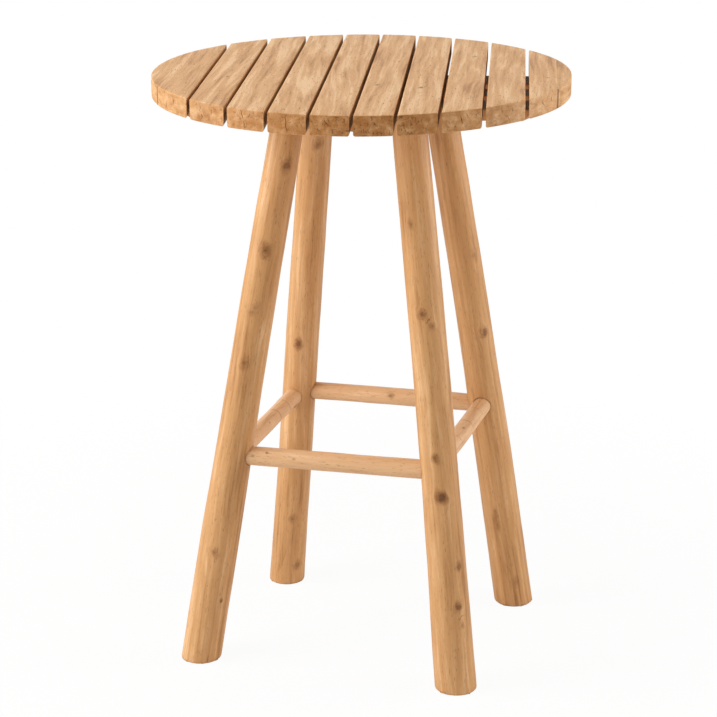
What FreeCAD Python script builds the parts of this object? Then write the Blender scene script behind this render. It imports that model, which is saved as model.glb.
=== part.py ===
import FreeCAD, Part
import math
import os

# Round bar table of natural teak: slats on bearers, a rail frame, four splayed log legs and four stretchers.
# X runs across the slats, Y along them and Z up. The origin is on the floor under the middle of the top.
# Lengths are in millimetres and angles in degrees.

# Top
table_height = 1100.0
top_diameter = 750.0
slat_thickness = 35.0
slat_width = 64.8
slat_gap = 6.5
middle_gap_offset = 11.2
least_end_slat_width = 60.0
slat_edge_radius = 2.5
slat_lower_edge_bevel = 3.0
rim_edge_bevel = 1.6
left_strip_width = 31.0
right_strip_width = 26.0

# Bearers under the slats
bearer_thickness = 20.0
outer_bearer_width = 80.0
outer_bearer_spacing = 220.0
middle_bearer_width = 60.0
bearer_rim_distance = 40.0
bearer_end_bevel = 10.0

# Legs, each a log that thickens towards its foot
leg_foot_diameter = 74.6
leg_head_diameter = 58.8
foot_half_width = 242.0
foot_half_depth = 193.0
head_half_width = 111.0
head_half_depth = 111.0
leg_frame_turn = -12.6
foot_edge_bevel = 2.0
foot_straight_length = 48.0
joint_straight_length = 100.0
head_straight_length = 60.0

# Rails that tie the leg heads together
rail_thickness = 22.0
rail_height = 28.0
rail_end_clearance = 3.0

# Stretchers
stretcher_height = 415.0
stretcher_diameter = 35.0
tenon_diameter = 22.0
tenon_end_clearance = 2.0
shoulder_seat_depth = 2.5

# Glued and screwed fits
glue_gap = 0.25
socket_end_gap = 0.8
screw_hole_clearance = 0.15

# Screws
slat_screw_length = 38.0
slat_screw_diameter = 4.5
slat_screw_head_diameter = 9.0
rail_screw_length = 42.0
rail_screw_diameter = 5.0
rail_screw_head_diameter = 10.0
screw_row_share = 0.22
least_screw_land = 18.0
screw_sides = 6

# One overrun serves every saw cut
cut_overrun = 30.0

# Places of the four legs, as shares of the half widths and half depths of their foot and head squares
foot_place_shares = {
    "front_left": (-1.08, -1.05),
    "front_right": (0.975, -0.965),
    "back_left": (-0.90, 0.915),
    "back_right": (1.05, 1.08),
}
head_place_shares = {
    "front_left": (-0.87, -0.98),
    "front_right": (1.08, -0.995),
    "back_left": (-1.04, 1.0),
    "back_right": (1.015, 1.025),
}

# Where a loft has a ring between its two ends, as a share of the height between two straight stretches
loft_ring_shares = (0.6,)

# Where a log's thickness and bow are given, as shares of the way from the floor to the slats
leg_section_shares = (-0.03, 0.25, 0.5, 0.75, 1.03)

# How far each log's section is thicker, and how far it bows towards +X, as shares of the foot radius
leg_swell_shares = {
    "front_left": (0.0, 0.022, -0.01, 0.008, -0.015),
    "front_right": (0.04, -0.008, 0.0, 0.018, 0.045),
    "back_left": (-0.045, -0.055, -0.025, 0.0, 0.01),
    "back_right": (0.0, 0.018, -0.02, -0.005, -0.015),
}
leg_bow_shares = {
    "front_left": (0.0, -0.013, -0.016, -0.005, 0.04),
    "front_right": (-0.035, 0.02, 0.03, -0.008, -0.05),
    "back_left": (0.0, 0.013, 0.0, 0.013, 0.01),
    "back_right": (-0.03, 0.03, 0.043, -0.01, -0.09),
}

# Each stretcher's two legs, the height of each end as a share of the stretcher height, and its
# thickness as a share of the stretcher diameter
stretcher_legs = {
    "front": ("front_left", "front_right"),
    "back": ("back_left", "back_right"),
    "left": ("front_left", "back_left"),
    "right": ("front_right", "back_right"),
}
stretcher_height_shares = {
    "front": (0.976, 0.994),
    "back": (1.028, 1.03),
    "left": (0.957, 1.018),
    "right": (1.028, 1.045),
}
stretcher_thickness_shares = {
    "front": 1.03,
    "back": 0.99,
    "left": 0.945,
    "right": 1.0,
}

# Worked out from the sizes above
top_radius = top_diameter / 2
slat_bottom = table_height - slat_thickness
bearer_bottom = slat_bottom - bearer_thickness
rail_bottom = bearer_bottom - rail_height
bearer_end_radius = top_radius - bearer_rim_distance
slat_pitch = slat_width + slat_gap
leg_foot_radius = leg_foot_diameter / 2
leg_head_radius = leg_head_diameter / 2

Vector = FreeCAD.Vector
upward = Vector(0, 0, 1)
sideways = Vector(1, 0, 0)


def chord_reach(radius, offset):
    """How far a circle reaches along one axis, at an offset along the other."""
    return math.sqrt(radius ** 2 - offset ** 2)


def gap_places():
    """X of the middle of every saw gap, from left to right, leaving wide enough end slats."""
    reach = top_radius - least_end_slat_width - slat_gap / 2
    first = math.ceil((-reach - middle_gap_offset) / slat_pitch)
    last = math.floor((reach - middle_gap_offset) / slat_pitch)
    return [middle_gap_offset + number * slat_pitch for number in range(first, last + 1)]


def slat_spans():
    """Left and right X of every slat, from left to right."""
    gaps = gap_places()
    lefts = [-top_radius] + [place + slat_gap / 2 for place in gaps]
    rights = [place - slat_gap / 2 for place in gaps] + [top_radius]
    return list(zip(lefts, rights))


def slab(left, right, front, back, bottom, top):
    """A straight block between six planes."""
    corner = Vector(left, front, bottom)
    return Part.makeBox(right - left, back - front, top - bottom, corner)


def rim_arc(start, end, side):
    """The rim between two X places, on the front or the back side of the top."""
    middle = (start + end) / 2
    points = [Vector(x, side * chord_reach(top_radius, x), 0) for x in (start, middle, end)]
    return Part.Arc(*points).toShape()


def lies_on_seam(edge, seam):
    """Whether an edge lies wholly in the plane of a glued seam."""
    middle = edge.valueAt((edge.FirstParameter + edge.LastParameter) / 2)
    return abs(middle.x - seam) < slat_edge_radius / 2


def plank(edges):
    """The full thickness of the top over a plan outline."""
    blank = Part.Face(Part.Wire(edges)).extrude(upward * slat_thickness)
    blank.translate(upward * slat_bottom)
    return blank


def long_edges(blank, seam, low):
    """The edges that run along a slat's open sides, at its underside or its top."""
    middle_height = table_height - slat_thickness / 2
    return [edge for edge in blank.Edges
            if edge.BoundBox.XLength < slat_edge_radius / 2 and edge.BoundBox.YLength > slat_width
            and (edge.BoundBox.ZMax < middle_height if low else edge.BoundBox.ZMin > middle_height)
            and (seam is None or not lies_on_seam(edge, seam))]


def slat_blank(left, right, seam=None):
    """One slat between two gaps, or a gap and a glued seam, its rim bevelled and its sides rounded."""
    front_left, front_right = (Vector(x, -chord_reach(top_radius, x), 0) for x in (left, right))
    back_left, back_right = (Vector(x, chord_reach(top_radius, x), 0) for x in (left, right))
    blank = plank([rim_arc(left, right, -1), Part.makeLine(front_right, back_right),
                   rim_arc(right, left, 1), Part.makeLine(back_left, front_left)])
    rims = [edge for edge in blank.Edges if isinstance(edge.Curve, Part.Circle)]
    blank = blank.makeChamfer(rim_edge_bevel, rims)
    blank = blank.makeChamfer(slat_lower_edge_bevel, long_edges(blank, seam, True))
    return blank.makeFillet(slat_edge_radius, long_edges(blank, seam, False))


def rim_strip(seam):
    """The narrow strip between a seam and the rim, glued to an end slat, its rim bevelled."""
    reach = chord_reach(top_radius, seam)
    ends = (Vector(seam, -reach, 0), Vector(seam, reach, 0))
    outermost = Vector(math.copysign(top_radius, seam), 0, 0)
    blank = plank([Part.Arc(ends[0], outermost, ends[1]).toShape(), Part.makeLine(ends[1], ends[0])])
    bevelled = [edge for edge in blank.Edges if not lies_on_seam(edge, seam)]
    return blank.makeChamfer(rim_edge_bevel, bevelled)


def bearer_places():
    """Y of the middle and the width of each bearer."""
    half_spacing = outer_bearer_spacing / 2
    return {
        "front": (-half_spacing, outer_bearer_width),
        "middle": (0, middle_bearer_width),
        "back": (half_spacing, outer_bearer_width),
    }


def bearer_blank(middle, width):
    """A flat board across the slats, its ends cut to a circle and bevelled underneath."""
    front = middle - width / 2
    back = middle + width / 2
    corners = [(front, 1), (middle, 1), (back, 1), (back, -1), (middle, -1), (front, -1)]
    points = [Vector(side * chord_reach(bearer_end_radius, y), y, 0) for y, side in corners]
    edges = [Part.Arc(points[0], points[1], points[2]).toShape(),
             Part.makeLine(points[2], points[3]),
             Part.Arc(points[3], points[4], points[5]).toShape(),
             Part.makeLine(points[5], points[0])]
    board = Part.Face(Part.Wire(edges)).extrude(upward * bearer_thickness)
    board.translate(upward * bearer_bottom)
    middle_height = bearer_bottom + bearer_thickness / 2
    ends = [edge for edge in board.Edges
            if isinstance(edge.Curve, Part.Circle) and edge.BoundBox.ZMax < middle_height]
    return board.makeChamfer(bearer_end_bevel, ends)


def screw_ring(radius, height):
    """Corners of a screw's plain faceted outline at a height."""
    turns = [math.tau * number / screw_sides for number in range(screw_sides)]
    return [Vector(radius * math.cos(turn), radius * math.sin(turn), height) for turn in turns]


def screw_solid(diameter, head_diameter, length, place, clearance=0.0):
    """A countersunk screw that points up from its head at a place, or with a clearance its hole."""
    shank = diameter / 2 + clearance
    head = head_diameter / 2 + clearance
    rings = [screw_ring(head, 0), screw_ring(shank, head - shank), screw_ring(shank, length + clearance)]
    outlines = [rings[0], rings[-1]]
    for low, high in zip(rings, rings[1:]):
        for number in range(screw_sides):
            after = (number + 1) % screw_sides
            outlines.append([low[number], low[after], high[after], high[number]])
    faces = [Part.Face(Part.makePolygon(outline + outline[:1])) for outline in outlines]
    solid = Part.makeSolid(Part.makeShell(faces))
    solid.translate(place)
    return solid


def slat_screw_places(bearer):
    """Heads of the screws that hold the slats to one bearer, one for each slat, in two staggered rows."""
    middle, width = bearer_places()[bearer]
    spans = slat_spans()
    row = width * screw_row_share
    places = []
    for number, (left, right) in enumerate(spans, 1):
        at_end = number in (1, len(spans))
        offset = -math.copysign(row, middle) if at_end else row * (-1) ** number
        reach = chord_reach(bearer_end_radius, middle + offset)
        land_left = max(left, -reach)
        land_right = min(right, reach)
        if land_right - land_left >= least_screw_land:
            places.append(Vector((land_left + land_right) / 2, middle + offset, bearer_bottom))
    return places


def turned(x, y, z):
    """A point given square to the leg frame, turned to its place under the slats."""
    return FreeCAD.Rotation(upward, leg_frame_turn).multVec(Vector(x, y, z))


def leg_ends(name):
    """A leg's axis from the floor to the underside of the slats."""
    foot_x, foot_y = foot_place_shares[name]
    head_x, head_y = head_place_shares[name]
    foot = turned(foot_x * foot_half_width, foot_y * foot_half_depth, 0)
    head = turned(head_x * head_half_width, head_y * head_half_depth, slat_bottom)
    return foot, head


def leg_section(name, share, swell, bow):
    """Centre and radius of a log at a share of the way from the floor to the slats."""
    foot, head = leg_ends(name)
    centre = foot + (head - foot) * share + sideways * (bow * leg_foot_radius)
    radius = leg_foot_radius + (leg_head_radius - leg_foot_radius) * share + swell * leg_foot_radius
    return centre, radius


def leg_at(name, height):
    """Centre and radius of a log at a height, between its two nearest sections."""
    share = height / slat_bottom
    stations = leg_section_shares
    number = max(index for index in range(len(stations) - 1) if stations[index] <= share)
    part = (share - stations[number]) / (stations[number + 1] - stations[number])

    def between(values):
        return values[number] + (values[number + 1] - values[number]) * part

    return leg_section(name, share, between(leg_swell_shares[name]), between(leg_bow_shares[name]))


def log_blank(name):
    """A log straight where it is cut or jointed and lofted between, flat at the floor and the bearers."""
    foot, head = leg_ends(name)
    axis = (head - foot).normalize()
    straights = [(0, foot_straight_length), (stretcher_height, joint_straight_length),
                 (rail_bottom + rail_height / 2, head_straight_length)]
    parts = []
    for height, length in straights:
        centre, radius = leg_at(name, height)
        parts.append(Part.makeCylinder(radius, length, centre - axis * (length / 2), axis))
    for (low, low_length), (high, high_length) in zip(straights, straights[1:]):
        low_centre, low_radius = leg_at(name, low)
        high_centre, high_radius = leg_at(name, high)
        rings = [(low_centre + axis * (low_length / 2), low_radius)]
        rings += [leg_at(name, low + (high - low) * share) for share in loft_ring_shares]
        rings.append((high_centre - axis * (high_length / 2), high_radius))
        wires = [Part.Wire(Part.makeCircle(radius, centre, axis)) for centre, radius in rings]
        parts.append(Part.makeLoft(wires, True, True))
    outside = top_radius + cut_overrun
    log = parts[0].fuse(parts[1:]).common(slab(-outside, outside, -outside, outside, 0, bearer_bottom))
    foot_edges = [edge for edge in log.Edges if edge.BoundBox.ZMax < foot_edge_bevel / 2]
    return log.makeChamfer(foot_edge_bevel, foot_edges)


def rail_run(name):
    """Start, direction and length of a rail, level between two leg heads."""
    height = rail_bottom + rail_height / 2
    first, last = (leg_at(leg, height)[0] for leg in stretcher_legs[name])
    span = last - first
    span.z = 0
    inset = rail_thickness / 2 + rail_end_clearance
    direction = Vector(span).normalize()
    start = first + direction * inset
    return start, direction, span.Length - inset * 2


def rail_block(name, grown=0.0):
    """A rail as a block, or grown by a gap and open at the top as the tool for its housings."""
    start, direction, length = rail_run(name)
    overlap = grown * socket_end_gap / glue_gap
    headroom = cut_overrun if grown else 0
    block = slab(-overlap, length + overlap, -rail_thickness / 2 - grown, rail_thickness / 2 + grown,
                 -rail_height / 2 - grown, rail_height / 2 + headroom)
    block.Placement = FreeCAD.Placement(start, FreeCAD.Rotation(sideways, direction))
    return block


def rail_screw_places(name):
    """Heads of the screws that hold a rail up to the bearers over it."""
    start, direction, length = rail_run(name)
    last = start + direction * length
    runs_across = abs(direction.x) > abs(direction.y)
    if runs_across:
        margin = leg_head_radius
        crossings = [x for x in gap_places() if start.x + margin < x < last.x - margin]
        ways = [(x - start.x) / (last.x - start.x) for x in crossings]
    else:
        ways = [-start.y / (last.y - start.y)]
    points = [start + (last - start) * way for way in ways]
    return [Vector(point.x, point.y, rail_bottom) for point in points]


def stretcher_run(name):
    """A stretcher's first point and direction, and where its shoulders and tenon ends lie on it."""
    ends = []
    for leg, share in zip(stretcher_legs[name], stretcher_height_shares[name]):
        ends.append(leg_at(leg, share * stretcher_height))
    (first, first_radius), (last, last_radius) = ends
    length = (last - first).Length
    half_thickness = stretcher_thickness_shares[name] * stretcher_diameter / 2
    first_seat, last_seat = (chord_reach(radius, half_thickness) - shoulder_seat_depth
                             for radius in (first_radius, last_radius))
    tenon_end = tenon_diameter / 2 + tenon_end_clearance
    direction = (last - first).normalize()
    return first, direction, (tenon_end, first_seat, length - last_seat, length - tenon_end)


def stretcher_solid(name, grown=0.0):
    """A round stretcher with a stub tenon at each end, or grown as the tool for its sockets."""
    first, direction, (start, first_seat, last_seat, end) = stretcher_run(name)
    radius = stretcher_thickness_shares[name] * stretcher_diameter / 2 + grown
    tenon = tenon_diameter / 2 + grown
    overlap = grown * socket_end_gap / glue_gap
    profile = [
        (0, start - overlap), (tenon, start - overlap), (tenon, first_seat - grown),
        (radius, first_seat - grown), (radius, last_seat + grown), (tenon, last_seat + grown),
        (tenon, end + overlap), (0, end + overlap), (0, start - overlap)]
    outline = Part.makePolygon([Vector(reach, 0, way) for reach, way in profile])
    solid = Part.Face(outline).revolve(Vector(0, 0, 0), upward)
    solid.Placement = FreeCAD.Placement(first, FreeCAD.Rotation(upward, direction))
    return solid


def slat_screw(place, clearance=0.0):
    """A screw from a bearer into a slat, or its hole."""
    return screw_solid(slat_screw_diameter, slat_screw_head_diameter, slat_screw_length, place, clearance)


def rail_screw(place, clearance=0.0):
    """A screw from a rail into a bearer, or its hole."""
    return screw_solid(rail_screw_diameter, rail_screw_head_diameter, rail_screw_length, place, clearance)


def build_top(pieces):
    """Slats, the glued outer strips, the bearers and the screws between them."""
    holes = []
    for bearer in bearer_places():
        places = slat_screw_places(bearer)
        pieces["slat_screws_" + bearer] = Part.makeCompound([slat_screw(place) for place in places])
        holes += [slat_screw(place, screw_hole_clearance) for place in places]
    rail_holes = [rail_screw(place, screw_hole_clearance)
                  for name in stretcher_legs for place in rail_screw_places(name)]
    for bearer, (middle, width) in bearer_places().items():
        pieces["bearer_" + bearer] = bearer_blank(middle, width).cut(holes + rail_holes)
    spans = slat_spans()
    left_seam = left_strip_width - top_radius
    right_seam = top_radius - right_strip_width
    for number, (left, right) in enumerate(spans, 1):
        if number == 1:
            blank = slat_blank(left_seam, right, left_seam)
            pieces["rim_strip_left"] = rim_strip(left_seam)
        elif number == len(spans):
            blank = slat_blank(left, right_seam, right_seam)
            pieces["rim_strip_right"] = rim_strip(right_seam)
        else:
            blank = slat_blank(left, right)
        pieces["slat_%02d" % number] = blank.cut(holes)


def build_base(pieces):
    """Legs, the rails between their heads, the stretchers and the screws up into the bearers."""
    screws = []
    for name in stretcher_legs:
        places = rail_screw_places(name)
        screws += [rail_screw(place) for place in places]
        holes = [rail_screw(place, screw_hole_clearance) for place in places]
        pieces["rail_" + name] = rail_block(name).cut(holes)
        pieces["stretcher_" + name] = stretcher_solid(name)
    pieces["rail_screws"] = Part.makeCompound(screws)
    for leg in foot_place_shares:
        met = [name for name, legs in stretcher_legs.items() if leg in legs]
        tools = [rail_block(name, glue_gap) for name in met]
        tools += [stretcher_solid(name, glue_gap) for name in met]
        pieces["leg_" + leg] = log_blank(leg).cut(tools)


def main():
    """Builds every piece and writes one STEP file for each."""
    pieces = {}
    build_top(pieces)
    build_base(pieces)
    os.makedirs("parts", exist_ok=True)
    for name, shape in sorted(pieces.items()):
        shape.exportStep("parts/%s.step" % name)
        print(name, len(shape.Solids), "solids, volume", round(shape.Volume), "valid", shape.isValid())


main()
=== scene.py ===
"""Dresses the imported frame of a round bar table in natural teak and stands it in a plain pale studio."""
import logging
import math
from contextlib import contextmanager
from dataclasses import dataclass
from enum import Enum
from functools import cache
from random import Random
from typing import Callable, Iterator, Optional, Union

import bmesh
import bpy
from mathutils import Matrix, Vector, noise


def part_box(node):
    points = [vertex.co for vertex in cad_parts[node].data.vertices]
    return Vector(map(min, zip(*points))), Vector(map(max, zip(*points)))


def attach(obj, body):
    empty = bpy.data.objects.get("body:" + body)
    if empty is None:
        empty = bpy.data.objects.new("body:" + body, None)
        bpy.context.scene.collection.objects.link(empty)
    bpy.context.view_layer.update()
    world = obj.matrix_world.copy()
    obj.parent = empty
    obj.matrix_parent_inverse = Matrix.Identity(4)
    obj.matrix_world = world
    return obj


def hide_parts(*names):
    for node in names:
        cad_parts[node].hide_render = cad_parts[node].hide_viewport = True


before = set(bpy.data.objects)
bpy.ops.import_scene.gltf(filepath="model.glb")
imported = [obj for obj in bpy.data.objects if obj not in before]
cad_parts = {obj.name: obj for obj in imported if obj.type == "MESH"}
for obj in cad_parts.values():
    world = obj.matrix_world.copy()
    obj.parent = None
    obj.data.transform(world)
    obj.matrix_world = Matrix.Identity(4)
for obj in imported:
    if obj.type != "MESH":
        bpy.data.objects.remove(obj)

log = logging.getLogger("bar_table")

# Short names for types
Piece = bpy.types.Object
Work = bmesh.types.BMesh
Value = Union[float, "Signal"]
Colour = Union[tuple, "Signal"]

# Sizes in metres, directions, and what the finish reads far from any knot
TOP_HEIGHT = 1.1
TOP_RADIUS = 0.375
SLAT_THICKNESS = 0.035
SLAT_BOTTOM = TOP_HEIGHT - SLAT_THICKNESS
SLAT_MIDDLE = SLAT_BOTTOM + SLAT_THICKNESS / 2
BEARER_BOTTOM = SLAT_BOTTOM - 0.02
RIGHT, BACK, UP = (Vector(way) for way in ((1, 0, 0), (0, 1, 0), (0, 0, 1)))
NO_KNOT = (9.0, 0.0, 0.0)


# Shader building

class Shader:
    """Builds the nodes of one material or world and hands their sockets out."""

    def __init__(self, owner: Union[bpy.types.Material, bpy.types.World]) -> None:
        """Starts the owner's node tree from nothing."""
        owner.use_nodes = True
        self.tree = owner.node_tree
        self.tree.nodes.clear()

    def node(self, kind: str, inputs: Optional[dict] = None, **settings: object) -> bpy.types.Node:
        """Makes any node, its settings first and then its sockets.

        Args:
            kind: The node's type, without the words ShaderNode.
            inputs: Values, colours or links by socket name or number.
            settings: Properties of the node.

        Returns:
            The new node.
        """
        made = self.tree.nodes.new("ShaderNode" + kind)
        for key, value in settings.items():
            setattr(made, key, value)
        for key, value in (inputs or {}).items():
            socket = made.inputs[key]
            if isinstance(value, Signal):
                self.tree.links.new(value.socket, socket)
            elif isinstance(value, bpy.types.NodeSocket):
                self.tree.links.new(value, socket)
            elif socket.type == "RGBA":
                socket.default_value = (*value, 1.0)
            else:
                socket.default_value = value
        return made

    def signal(self, kind: str, inputs: Optional[dict] = None, out: Union[str, int] = 0,
               **settings: object) -> "Signal":
        """Makes a node and gives one of its outputs as a signal."""
        return Signal(self, self.node(kind, inputs, **settings).outputs[out])

    def mix(self, amount: Value, first: Colour, second: Colour) -> "Signal":
        """Mixes two colours by an amount from 0, which shows the first, to 1."""
        return self.signal("Mix", {"Factor": amount, 6: first, 7: second}, 2, data_type="RGBA")

    def noise(self, place: "Signal", scale: tuple, detail: float = 2.0, rough: float = 0.5,
              distortion: float = 0.0, out: str = "Fac") -> "Signal":
        """Smooth noise round 0.5 in a stretched space.

        Args:
            place: Where the noise is read, in metres.
            scale: Features per metre along each axis.
            detail: Octaves.
            rough: How strong the finer octaves are.
            distortion: How much the noise is bent by itself.
            out: Fac for a number, or Color for three.

        Returns:
            The noise.
        """
        stretched = place.vector("MULTIPLY", scale)
        return self.signal("TexNoise", {"Vector": stretched, "Scale": 1.0, "Detail": detail, "Roughness": rough,
                                        "Distortion": distortion}, out)

    def surface(self, **sockets: Colour) -> None:
        """Ends a material in one Principled surface, its sockets named with _ for each space."""
        inputs = {name.replace("_", " "): value for name, value in sockets.items()}
        self.node("OutputMaterial", {"Surface": self.node("BsdfPrincipled", inputs).outputs[0]})

    def blend(self, kind: str, amount: "Signal", first: tuple, second: tuple) -> None:
        """Ends a material or world in two shaders, each given by kind and inputs, mixed by an amount."""
        sources = {0: amount, 1: self.node(*first).outputs[0], 2: self.node(*second).outputs[0]}
        self.node("Output" + kind, {"Surface": self.node("MixShader", sources).outputs[0]})


class Signal:
    """A number or vector socket; an expression on it adds Math nodes."""

    def __init__(self, shader: Shader, socket: bpy.types.NodeSocket) -> None:
        """Keeps the shader and the socket."""
        self.shader = shader
        self.socket = socket

    def _math(self, operation: str, *values: Value, clamp: bool = False) -> "Signal":
        """Adds one Math node."""
        return self.shader.signal("Math", dict(enumerate(values)), operation=operation, use_clamp=clamp)

    def __add__(self, other: Value) -> "Signal":
        """Self plus other."""
        return self._math("ADD", self, other)

    __radd__ = __add__

    def __sub__(self, other: Value) -> "Signal":
        """Self minus other."""
        return self._math("SUBTRACT", self, other)

    def __rsub__(self, other: Value) -> "Signal":
        """Other minus self."""
        return self._math("SUBTRACT", other, self)

    def __mul__(self, other: Value) -> "Signal":
        """Self times other."""
        return self._math("MULTIPLY", self, other)

    __rmul__ = __mul__

    def __truediv__(self, other: Value) -> "Signal":
        """Self over other."""
        return self._math("DIVIDE", self, other)

    def __pow__(self, other: float) -> "Signal":
        """Self to a power."""
        return self._math("POWER", self, other)

    def fraction(self) -> "Signal":
        """The part after the decimal point."""
        return self._math("FRACT", self)

    def sine(self) -> "Signal":
        """The sine of self in radians."""
        return self._math("SINE", self)

    def turn(self, other: "Signal") -> "Signal":
        """The angle of the point with self as its height and other as its width."""
        return self._math("ARCTAN2", self, other)

    def limited(self) -> "Signal":
        """Self kept between 0 and 1."""
        return self._math("ADD", self, 0.0, clamp=True)

    def larger(self, other: Value) -> "Signal":
        """The larger of two."""
        return self._math("MAXIMUM", self, other)

    def between(self, low: float, high: float) -> "Signal":
        """A smooth step from 0 at low to 1 at high, which may be the smaller."""
        return self.shader.signal("MapRange", {"Value": self, "From Min": low, "From Max": high},
                                  interpolation_type="SMOOTHSTEP")

    def vector(self, operation: str, other: Colour) -> "Signal":
        """Vector Math on self and another vector."""
        return self.shader.signal("VectorMath", {0: self, 1: other}, operation=operation)

    def length(self) -> "Signal":
        """The length of a vector."""
        return self.shader.signal("VectorMath", {0: self}, "Value", operation="LENGTH")

    def parts(self) -> list:
        """The three numbers of a vector."""
        return [Signal(self.shader, output) for output in self.shader.node("SeparateXYZ", {0: self}).outputs]


def linear(red: int, green: int, blue: int) -> tuple:
    """A screen colour, each channel from 0 to 255, as a linear one."""
    shares = [channel / 255 for channel in (red, green, blue)]
    return tuple(share / 12.92 if share <= 0.04045 else ((share + 0.055) / 1.055) ** 2.4 for share in shares)


# Finishes

@dataclass(frozen=True)
class Teak:
    """Bare teak, cut through a log whose axis is Z of the grain space."""
    slot: str
    pale: tuple
    body: tuple
    deep: tuple
    end: tuple
    knotty: tuple = linear(150, 98, 52)
    pore_brown: tuple = (0.2, 0.095, 0.04)
    dot_brown: tuple = (0.16, 0.07, 0.028)
    check_brown: tuple = (0.12, 0.05, 0.02)
    ring_brown: tuple = (0.17, 0.072, 0.026)
    heart_brown: tuple = (0.14, 0.06, 0.026)
    knot_dot_brown: tuple = (0.11, 0.045, 0.018)
    marks_and_shade_brown: tuple = (0.10, 0.042, 0.016)
    ring_width: float = 0.0055
    ring_strength: float = 0.12
    streak_strength: float = 0.5
    figure_strength: float = 0.5
    figure_scale: tuple = (46.0, 46.0, 12.0)
    figure_bend: float = 1.2
    patch_strength: float = 1.0
    wander: tuple = (9.0, 9.0, 2.2)
    wander_width: float = 0.022
    fleck_strength: float = 0.5
    gloss: float = 0.4
    roughness: float = 0.5
    bump: float = 0.25
    bump_height: float = 0.0006

    def shade(self, shader: Shader, place: Signal, tone: Signal) -> dict:
        """Reads the growth rings, streaks and pores at a place in the log.

        Args:
            shader: What builds the nodes.
            place: The place in the log, in metres.
            tone: How much darker the whole piece is.

        Returns:
            Signals by name: shade, streak, fibre, pore, fleck and late, the dark part of each ring.
        """
        drift = shader.noise(place, self.wander, out="Color").vector("SUBTRACT", (0.5, 0.5, 0.5))
        bent = place.vector("ADD", drift.vector("MULTIPLY", (self.wander_width,) * 3))
        pith = bent.vector("MULTIPLY", (1.0, 1.0, 0.0)).length()
        ring_weight = shader.noise(bent, (30.0, 30.0, 5.0), 1.0).between(0.35, 0.7)
        late = (pith / self.ring_width).fraction() ** 3.0 * ring_weight
        streak = shader.noise(bent, (130.0, 130.0, 4.0), 4.0, 0.6)
        fibre = shader.noise(bent, (620.0, 620.0, 14.0), 2.0, 0.6)
        figure = shader.noise(bent, self.figure_scale, 3.0, 0.5, self.figure_bend)
        patch = shader.noise(bent, (16.0, 16.0, 3.0))
        pore = shader.noise(bent, (900.0, 900.0, 70.0), 1.0).between(0.66, 0.74)
        fleck = shader.noise(bent, (720.0, 720.0, 75.0), 1.0).between(0.66, 0.72)
        shade = (0.5 + (streak - 0.5) * (2.2 * self.streak_strength)
                 + (figure - 0.5) * (2.6 * self.figure_strength)
                 + (patch - 0.5) * self.patch_strength + (fibre - 0.5) * 0.45
                 + late * self.ring_strength + tone)
        return {"shade": shade, "streak": streak, "fibre": fibre, "pore": pore, "fleck": fleck, "late": late}

    def checks(self, shader: Shader, place: Signal) -> Signal:
        """Hairline drying checks that run out from the heart of the log, 1 in a check and 0 elsewhere."""
        across, up, along = place.parts()
        away = place.vector("MULTIPLY", (1.0, 1.0, 0.0)).length()
        polar = shader.signal("CombineXYZ", {0: up.turn(across) * 2.8, 1: away * 55.0, 2: along * 3.0})
        line = shader.noise(polar, (1.0, 1.0, 1.0), 2.0, 0.55) - 0.5
        broken = shader.noise(place, (170.0, 170.0, 60.0), 1.0).between(0.46, 0.60)
        return (line * line).between(0.00045, 0.00006) * broken

    @cache
    def material(self) -> bpy.types.Material:
        """Builds the finish once, as a material that reads a piece's grain, knot and trait attributes.

        Returns:
            The material, its name that of the slot.
        """
        made = bpy.data.materials.new(self.slot)
        shader = Shader(made)
        place, trait, knot = (shader.signal("Attribute", None, "Vector", attribute_name=name)
                              for name in ("grain", "trait", "knot"))
        end, tone, marks_and_shade = trait.parts()
        wood = self.shade(shader, place, tone)
        colour = shader.mix(wood["shade"].between(-0.05, 0.55), self.pale, self.body)
        colour = shader.mix(wood["shade"].between(0.5, 1.2), colour, self.deep)

        # End grain is warmer and darker, mottled, with dots for pores
        mottle = shader.noise(place, (80.0, 80.0, 80.0), 2.0, 0.55).between(0.30, 0.85) * 0.6
        colour = shader.mix(end * 0.95, colour, shader.mix(mottle, self.end, colour))
        dots = shader.noise(place, (420.0, 420.0, 420.0), 1.0).between(0.60, 0.70) * end
        colour = shader.mix(dots * 0.5, colour, self.dot_brown)
        check = self.checks(shader, place) * end
        colour = shader.mix(check * 0.7, colour, self.check_brown)
        specks = wood["pore"] * 0.3 + wood["fleck"] * self.fleck_strength
        colour = shader.mix((specks * (1.0 - end)).limited(), colour, self.pore_brown)

        # Knots have a dark ringed heart in a brown halo
        across, along, strength = knot.parts()
        ragged = ((shader.noise(place, (210.0, 210.0, 120.0), 3.0, 0.6) - 0.5) * 1.5
                  + (shader.noise(place, (75.0, 75.0, 45.0), 1.0) - 0.5) * 2.4)
        away = shader.signal("CombineXYZ", {0: across, 1: along}).length() + ragged
        halo = away.between(1.8, 0.1) * strength
        heart = away.between(0.5, 0.1) * strength
        dots = (shader.noise(place, (600.0, 600.0, 400.0), 1.0).between(0.60, 0.68) * halo).limited()
        rim = ((away * 15.0).sine() * 0.5 + 0.5) * away.between(1.1, 0.5) * strength
        colour = shader.mix((halo * 0.8).limited(), colour, self.knotty)
        colour = shader.mix((rim * 0.25).limited(), colour, self.ring_brown)
        colour = shader.mix((heart * 0.6).limited(), colour, self.heart_brown)
        colour = shader.mix(dots * 0.6, colour, self.knot_dot_brown)
        # Dark seams and scars, and painted shade in gaps, cracks, outer rims, at the feet and where rods enter
        # legs
        colour = shader.mix(marks_and_shade.limited(), colour, self.marks_and_shade_brown)

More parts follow.
